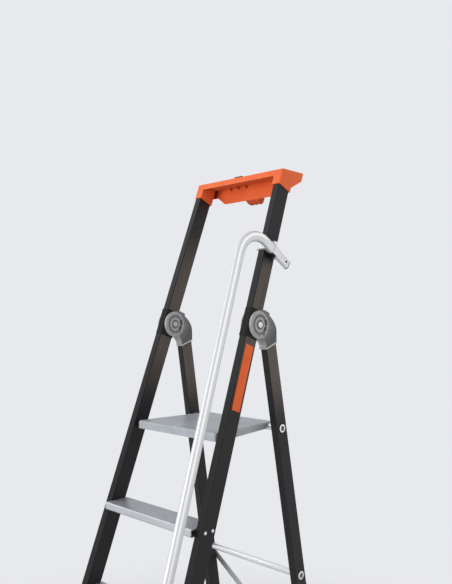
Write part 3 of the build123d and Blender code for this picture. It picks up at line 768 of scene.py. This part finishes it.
# Dome nut: polished nickel, nearly white
NUT_NICKEL = LinedMetal(
    name="nickel_plated_steel_dome_nut", light="#F3F4F5", dark="#E9EAEB", metallic=0.35, roughness=0.30,
    line_mm=1.0, drift_mm=10.0, run=1.0, bump=0.02,
)
# Zinc on pressed steel: small bright crystals, no direction
ZINC_STEEL = LinedMetal(
    name="zinc_plated_steel_pressed", light="#DCDEDF", dark="#BFC2C4", metallic=0.9, roughness=0.28,
    line_mm=1.2, drift_mm=12.0, run=1.0, bump=0.08,
)
# Turned rivet: its outer heads bright, its inner ends between the stiles a darker grey
PIN_STEEL = LinedMetal(
    name="bare_steel_turned_pin", light="#E4E6E7", dark="#CDD0D2", metallic=0.6, roughness=0.32,
    line_mm=0.8, drift_mm=8.0, run=1.0, bump=0.06, dull="#9C9E9F", dull_inside=0.1855,
)
# Die-cast hinge fork: satin grey skin, its turned disc a tone paler, with painted shade in its recesses
# and away from the disc and painted highlights on its rims and lip
FORK_CAST = HingeCasting(
    name="grey_alloy_die_cast_fork", turned="#9EA0A0", sunk_shade="#6C6F71", cast="#6A6D70", far_shade="#484B4D",
    brighter="#B4B6B7", pocket_shade="#323435", recess_shade="#1C1D1E", turned_radius_mm=41.5,
    sunk_rings_mm=((10.2, 14.2), (22.8, 30.2)),
    pockets=((-12.0, 18.0, 22.0, 33.0), (-54.0, -24.0, 21.0, 32.0), (-70.0, -60.0, 31.0, 37.0)),
    roughness=0.44, grain_mm=0.8, mottle_mm=9.0,
)
# Glass-filled nylon: fibres show as pale flow marks in a matt grey
GREY_NYLON = GrainedMoulding(
    name="grey_glass_filled_nylon_moulded", light="#9A9C9D", dark="#7C7F82", roughness=0.50, grain_mm=0.6,
    mottle_mm=9.0, bump=0.12,
)
# Stove enamel on the pressed platform: even grey with a faint orange-peel
DECK_ENAMEL = GrainedMoulding(
    name="grey_enamel_on_pressed_sheet", light="#A6ACB1", dark="#9AA0A6", roughness=0.40, grain_mm=1.1,
    mottle_mm=45.0, bump=0.10,
)
# Orange ABS: clear satin colour, very fine tool grain, painted shade deep in the corners
CAP_ABS = GrainedMoulding(
    name="orange_abs_moulded", light="#EC6E3C", dark="#E46736", roughness=0.40, grain_mm=0.7,
    mottle_mm=60.0, bump=0.06, specular=0.16, crease_shade="#8A3A1A",
)
# The grip's ABS: the cap's orange painted deeper and duller, as shade on its downward face
GRIP_SHADED_ABS = GrainedMoulding(
    name="orange_abs_moulded_grip_shaded", light="#C9562E", dark="#B84C26", roughness=0.46, grain_mm=0.8,
    mottle_mm=40.0, bump=0.04, specular=0.15,
)
# Film on the bare plate: flat orange with a slight print mottle
PLATE_FILM = GrainedMoulding(
    name="orange_film_bare_plate", light="#EE6A2C", dark="#E4632A", roughness=0.38, grain_mm=0.5,
    mottle_mm=30.0, bump=0.03, specular=0.18,
)
# Black nylon: even, deep black with a fine tool grain
BLACK_NYLON = GrainedMoulding(
    name="black_nylon_moulded", light="#171818", dark="#121313", roughness=0.50, grain_mm=0.7,
    mottle_mm=30.0, bump=0.12, specular=0.15,
)
# Rubber: matt and a little greyer, with a coarser grain
BLACK_RUBBER = GrainedMoulding(
    name="black_rubber_moulded", light="#262626", dark="#1B1B1B", roughness=0.72, grain_mm=1.2,
    mottle_mm=25.0, bump=0.25, specular=0.3,
)


@dataclass
class Workbench:
    """Hands for modelling pieces with Blender's own operators."""

    smooth_angle: float = 40.0
    sharp_angle: float = 35.0
    rounding_steps: int = 2
    made: List[Piece] = field(default_factory=list)

    def clear(self) -> None:
        """Leave nothing selected, in object mode."""
        if bpy.context.object and bpy.context.object.mode != "OBJECT":
            bpy.ops.object.mode_set(mode="OBJECT")
        bpy.ops.object.select_all(action="DESELECT")

    def pick(self, piece: Piece) -> None:
        """Select one piece alone and make it active.

        Args:
            piece: Object to select.
        """
        self.clear()
        piece.select_set(True)
        bpy.context.view_layer.objects.active = piece

    def choose(self, piece: Piece, kind: str, test: Callable[[Any], bool]) -> None:
        """Select a mesh's faces or edges that pass a test, and go to edit mode.

        Args:
            piece: Mesh object.
            kind: "FACE" or "EDGE".
            test: Called with each face, or with an edge's two end points.
        """
        self.pick(piece)
        bpy.ops.object.mode_set(mode="EDIT")
        bpy.ops.mesh.select_mode(type=kind)
        bpy.ops.mesh.select_all(action="DESELECT")
        bpy.ops.object.mode_set(mode="OBJECT")
        mesh = piece.data
        if kind == "FACE":
            for face in mesh.polygons:
                face.select = test(face)
        else:
            for edge in mesh.edges:
                edge.select = test([mesh.vertices[i].co for i in edge.vertices])
        bpy.ops.object.mode_set(mode="EDIT")

    def done(self) -> None:
        """Go back to object mode."""
        bpy.ops.object.mode_set(mode="OBJECT")

    def bevelled(self, piece: Piece, width: float) -> None:
        """Round a piece's sharp edges with an applied modifier.

        Args:
            piece: Mesh object.
            width: Width of the rounding, in metres.
        """
        self.pick(piece)
        bevel = piece.modifiers.new("rounding", "BEVEL")
        bevel.width = width
        bevel.segments = self.rounding_steps
        bevel.limit_method = "ANGLE"
        bevel.angle_limit = math.radians(self.sharp_angle)
        bpy.ops.object.modifier_apply(modifier=bevel.name)

    def settle(self, piece: Piece, place: Matrix) -> None:
        """Put a piece's place into its mesh, so that its object sits at the origin.

        Args:
            piece: Mesh object.
            place: Where it goes.
        """
        self.pick(piece)
        piece.matrix_world = place @ piece.matrix_world
        bpy.ops.object.transform_apply(location=True, rotation=True, scale=True)
        bpy.ops.object.shade_smooth_by_angle(angle=math.radians(self.smooth_angle))

    def copy(self, piece: Piece, name: str, place: Matrix) -> Piece:
        """Copy a modelled piece, with its own mesh, to another place.

        Args:
            piece: Mesh object to copy.
            name: Name of the copy.
            place: Where the copy goes.

        Returns:
            The copy.
        """
        twin = piece.copy()
        twin.data = piece.data.copy()
        twin.name = name
        bpy.context.scene.collection.objects.link(twin)
        self.settle(twin, place)
        return twin

    def fit(self, piece: Piece, finish: Material, body: Body) -> None:
        """Dress a finished piece and let it ride on its body.

        Args:
            piece: Mesh object at its place.
            finish: Its material.
            body: Body it moves with.
        """
        piece.data.materials.clear()
        piece.data.materials.append(finish)
        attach(piece, body.value)
        self.made.append(piece)
        log.info("made %s on %s", piece.name, body.value)


BENCH = Workbench()


def pair(stem: str) -> List[str]:
    """Left and right node of a stem."""
    return [f"{stem}_left", f"{stem}_right"]


@dataclass
class SubAssembly:
    """Pieces of the ladder that ride on one body, in metres and degrees."""

    body: Body

    def paint(self, names: Iterable[str], finish: Material) -> None:
        """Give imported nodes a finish.

        Args:
            names: Node names.
            finish: Material for all of them.
        """
        for name in names:
            mesh = frame["nodes"][name].data
            mesh.materials.clear()
            mesh.materials.append(finish)
            log.info("dressed %s on %s as %s", name, self.body.value, finish.name)


@dataclass
class FrontFrame(SubAssembly):
    """Stiles, treads, sleeves, feet and the bare plate."""

    body: Body = Body.FRONT
    plate_width: float = 0.033
    plate_length: float = 0.193
    plate_thickness: float = 0.0009
    plate_corner: float = 0.0025
    plate_corner_steps: int = 5
    plate_margin: float = 0.0006
    plate_crown: float = 0.00015
    plate_middle: Span = (0.0005, 0.1595)
    treads: Sequence[str] = ("tread_1", "tread_2", "tread_3", "tread_4")

    def build(self) -> None:
        """Model the bare orange plate on the right stile's outer face."""
        BENCH.clear()
        bpy.ops.mesh.primitive_cube_add(size=1.0)
        plate = bpy.context.object
        plate.name = "stile_plate"
        plate.scale = (self.plate_thickness, self.plate_width, self.plate_length)
        bpy.ops.object.transform_apply(location=True, rotation=True, scale=True)
        BENCH.choose(plate, "EDGE", lambda ends: abs(ends[0].x - ends[1].x) > self.plate_thickness / 2)
        bpy.ops.mesh.bevel(offset=self.plate_corner, segments=self.plate_corner_steps)
        BENCH.done()
        BENCH.choose(plate, "FACE", lambda face: face.normal.x > FACING)
        bpy.ops.mesh.inset(thickness=self.plate_margin, depth=0.0)
        bpy.ops.transform.translate(value=(self.plate_crown, 0.0, 0.0))
        BENCH.done()
        back, up = self.plate_middle
        out = STANCE.stile_half_width + self.plate_thickness / 2
        BENCH.settle(plate, STANCE.stile() @ Matrix.Translation((out, back, up)))
        BENCH.fit(plate, PLATE_FILM.material(), self.body)

    def dress(self) -> None:
        """Give the front frame's nodes their finishes."""
        self.paint(["stile_left"], STILE_ANODISED.material())
        self.paint(["stile_right"], RAIL_STILE_SHADOWED.material())
        self.paint(self.treads, TREAD_MILL.material())
        self.paint(pair("hinge_sleeve"), BLACK_NYLON.material())
        self.paint(pair("front_foot"), BLACK_RUBBER.material())
        self.paint(["tread_rivets", "platform_pins"], ZINC_STEEL.material())
        self.paint(pair("hinge_pin"), PIN_STEEL.material())
        self.paint(["platform_bushes"], GREY_NYLON.material())


@dataclass
class TopCap(SubAssembly):
    """Orange cap with its tray, grip and pad."""

    body: Body = Body.FRONT

    def dress(self) -> None:
        """Give the cap's nodes their finishes."""
        self.paint(["top_cap"], CAP_ABS.material())
        self.paint(["carry_grip"], GRIP_SHADED_ABS.material())
        self.paint(["cap_pad"], BLACK_NYLON.material())
        self.paint(["cap_screws"], ZINC_STEEL.material())


@dataclass
class Handrail(SubAssembly):
    """Bent tube with its clamps, plugs and end rivets."""

    body: Body = Body.FRONT
    tail_height: float = 0.5538
    tail_drop: float = 12.5
    half_width: float = 0.008
    rivet_along: Span = (0.057, 0.047)
    rivet_sink: float = 0.0002
    rivet_radius: float = 0.0032
    rivet_sides: int = 20
    rivet_height: float = 0.00176
    rivet_rounding: float = 0.000384
    hole_inset: float = 0.00176
    hole_depth: float = 0.001056

    def tails(self) -> Dict[str, Matrix]:
        """Frames of the tube's two ends where they cross the stile, y back along the tube.

        Returns:
            Matrix of the upper and of the lower end.
        """
        stile = STANCE.stile()
        out, _, low = STANCE.rail_low
        drop = Matrix.Rotation(math.radians(-self.tail_drop), 4, "X")
        return {
            "upper": stile @ Matrix.Translation((out, 0.0, self.tail_height)) @ drop,
            "lower": stile @ Matrix.Translation((out, 0.0, low)),
        }

    def rivet(self) -> Piece:
        """Model one blind rivet with its mandrel hole, its seat on the XY plane.

        Returns:
            The rivet.
        """
        BENCH.clear()
        bpy.ops.mesh.primitive_cylinder_add(
            vertices=self.rivet_sides, radius=self.rivet_radius, depth=self.rivet_height,
            location=(0.0, 0.0, self.rivet_height / 2),
        )
        rivet = bpy.context.object
        bpy.ops.object.transform_apply(location=True, rotation=True, scale=True)
        BENCH.choose(rivet, "FACE", lambda face: face.normal.z > FACING)
        bpy.ops.mesh.inset(thickness=self.hole_inset, depth=0.0)
        bpy.ops.mesh.extrude_region_move(TRANSFORM_OT_translate={"value": (0.0, 0.0, -self.hole_depth)})
        BENCH.done()
        BENCH.bevelled(rivet, self.rivet_rounding)
        return rivet

    def build(self) -> None:
        """Set a blind rivet in each end of the tube, on its outer side."""
        rivet = self.rivet()
        dark = BLACK_NYLON.material()
        outwards = Matrix.Rotation(math.pi / 2, 4, "Y")
        for (name, tail), along in zip(self.tails().items(), self.rivet_along):
            place = tail @ Matrix.Translation((self.half_width - self.rivet_sink, along, 0.0)) @ outwards
            copy = BENCH.copy(rivet, f"rail_end_rivet_{name}", place)
            BENCH.fit(copy, dark, self.body)
        bpy.data.objects.remove(rivet)

    def dress(self) -> None:
        """Give the handrail's nodes their finishes."""
        bright = RAIL_DRAWN.material()
        self.paint(["handrail_tube"], bright)
        nickel = NUT_NICKEL.material()
        for end, tail in self.tails().items():
            self.paint([f"rail_bracket_{end}"], bright)
            self.paint([f"rail_strap_{end}"], STRAP_SHADOWED.material(tail))
            self.paint([f"rail_bolt_{end}"], nickel)
        self.paint(["handrail_plugs"], BLACK_NYLON.material())


@dataclass
class RearFrame(SubAssembly):
    """Legs, hinge forks, cross tubes, braces and feet."""

    body: Body = Body.REAR
    tubes: Sequence[str] = ("rear_tube_top", "rear_tube_middle", "rear_tube_low")

    def dress(self) -> None:
        """Give the rear frame's nodes their finishes."""
        self.paint(pair("rear_leg"), LEG_ANODISED.material())
        self.paint(pair("hinge_fork"), FORK_CAST.material())
        self.paint(self.tubes, CROSS_DRAWN.material())
        self.paint(["rear_brace_inner", "rear_brace_outer"], TREAD_MILL.material())
        self.paint(["brace_rivets", "fork_rivets"], ZINC_STEEL.material())
        self.paint(pair("rear_foot"), BLACK_RUBBER.material())


@dataclass
class Platform(SubAssembly):
    """Folding deck with its hooks."""

    body: Body = Body.DECK

    def dress(self) -> None:
        """Give the platform's nodes their finishes."""
        self.paint(["platform_deck"], DECK_ENAMEL.material())
        self.paint(pair("platform_hook"), GREY_NYLON.material())
        self.paint(["hook_rivets"], ZINC_STEEL.material())


@dataclass(frozen=True, kw_only=True)
class Lamp:
    """Soft square lamp: its place and aim in metres, the side of its face, its watts and its colour."""

    name: str
    place: Place
    aim: Place
    side: float
    power: float
    tint: str = "#FFFFFF"

    def hang(self) -> None:
        """Add the lamp to the scene."""
        data = bpy.data.lights.new(f"lamp_{self.name}", "AREA")
        data.size = self.side
        data.energy = self.power
        data.color = linear(self.tint)[:3]
        lamp = bpy.data.objects.new(f"lamp_{self.name}", data)
        bpy.context.scene.collection.objects.link(lamp)
        lamp.location = self.place
        lamp.rotation_euler = (Vector(self.aim) - Vector(self.place)).to_track_quat("-Z", "Y").to_euler()


@dataclass
class Studio:
    """Pale floor, soft lights and the photograph's camera."""

    backdrop: str = "#E8E9ED"
    floor_paper: str = "#DADBDF"
    floor_bounce: str = "#6E6E70"
    floor_fade: Span = (0.8, 2.2)
    floor_sides: int = 96
    sky: str = "#FFFFFF"
    sky_rise: Span = (-0.6, 0.9)
    sky_strength: Span = (0.42, 0.78)
    lamps: Sequence[Lamp] = (
        Lamp(name="key", place=(0.0, -3.6, 1.45), aim=(0.0, 0.1, 1.6), side=2.8, power=84.0),
        Lamp(name="left", place=(-2.5, -1.5, 3.7), aim=(0.0, 0.2, 1.7), side=2.4, power=20.0),
        Lamp(name="warm", place=(3.2, 1.2, 1.9), aim=(0.0, 0.1, 1.5), side=3.6, power=26.0, tint="#FFF5EE"),
    )
    camera_place: Place = (1.44695, -1.31199, 1.49098)
    camera_azimuth: float = 43.81
    camera_rise: float = 2.4
    focal_pixels: float = 648.78
    image_height: float = 584.0
    sensor: float = 36.0

    def build(self) -> None:
        """Set up world, floor, lamps and camera."""
        bpy.context.scene.view_settings.view_transform = "Standard"
        self.world()
        self.floor()
        for lamp in self.lamps:
            lamp.hang()
        self.camera()

    def seen(self, tree: Tree) -> Node:
        """Share that is 1 for the eye and for what mirrors and glass show, and 0 for bounced light.

        Args:
            tree: Tree that takes the nodes.

        Returns:
            The share.
        """
        path = add_node(tree, "LightPath", {}).outputs
        shiny = {0: path["Is Glossy Ray"], 1: path["Is Transmission Ray"]}
        shiny_share = add_node(tree, "Math", shiny, operation="MAXIMUM")
        return add_node(tree, "Math", {0: path["Is Camera Ray"], 1: shiny_share}, operation="MAXIMUM")

    def world(self) -> None:
        """Soft light from all round, brighter above, and the plain backdrop for the eye and reflections."""
        world = bpy.data.worlds.new("studio")
        bpy.context.scene.world = world
        world.use_nodes = True
        tree = world.node_tree
        tree.nodes.clear()
        place = add_node(tree, "TexCoord", {})
        axes = add_node(tree, "SeparateXYZ", {0: place.outputs["Generated"]})
        strength = add_node(tree, "MapRange", ramp(axes.outputs["Z"], self.sky_rise, self.sky_strength))
        soft = add_node(tree, "Background", {"Color": self.sky, "Strength": strength})
        plain = add_node(tree, "Background", {"Color": self.backdrop, "Strength": 1.0})
        mix = add_node(tree, "MixShader", {0: self.seen(tree), 1: soft, 2: plain})
        add_node(tree, "OutputWorld", {"Surface": mix})

    def floor(self) -> None:
        """Pale floor that takes the shadow and fades into the backdrop."""
        BENCH.clear()
        end = self.floor_fade[1]
        bpy.ops.mesh.primitive_circle_add(vertices=self.floor_sides, radius=end, fill_type="NGON")
        floor = bpy.context.object
        floor.name = "studio_floor"
        material, tree, place = new_material("studio_floor_paper")
        far = add_node(tree, "VectorMath", {0: place.outputs["Object"]}, operation="LENGTH")
        fade = add_node(tree, "MapRange", ramp(far, self.floor_fade), **SMOOTH)
        tones = {"A": self.floor_bounce, "B": self.floor_paper}
        shade = add_node(tree, "Mix", {"Factor": self.seen(tree), **tones}, data_type="RGBA")
        paper = add_node(tree, "BsdfDiffuse", {"Color": shade})
        clear = add_node(tree, "BsdfTransparent", {})
        mix = add_node(tree, "MixShader", {0: fade, 1: paper, 2: clear})
        add_node(tree, "OutputMaterial", {"Surface": mix})
        floor.data.materials.append(material)

    def camera(self) -> None:
        """Stand where the photograph was taken from, a little below the cap and to the right."""
        data = bpy.data.cameras.new("camera")
        data.sensor_width = self.sensor
        data.lens = self.focal_pixels * self.sensor / self.image_height
        camera = bpy.data.objects.new("camera", data)
        bpy.context.scene.collection.objects.link(camera)
        turn = math.radians(self.camera_azimuth)
        rise = math.radians(self.camera_rise)
        ahead = Vector((-math.sin(turn) * math.cos(rise), math.cos(turn) * math.cos(rise), math.sin(rise)))
        right = Vector((math.cos(turn), math.sin(turn), 0.0))
        axes = Matrix((right, right.cross(ahead), -ahead)).transposed().to_4x4()
        camera.matrix_world = Matrix.Translation(Vector(self.camera_place) + STANCE.shift()) @ axes
        bpy.context.scene.camera = camera


def main() -> None:
    """Build and dress the ladder's sub-assemblies, then the studio."""
    logging.basicConfig(level=logging.INFO, format="%(name)s: %(message)s")
    front = FrontFrame()
    front.dress()
    front.build()
    TopCap().dress()
    rail = Handrail()
    rail.dress()
    rail.build()
    RearFrame().dress()
    Platform().dress()
    Studio().build()
    log.info("%d new pieces", len(BENCH.made))


if __name__ == "__main__":
    main()
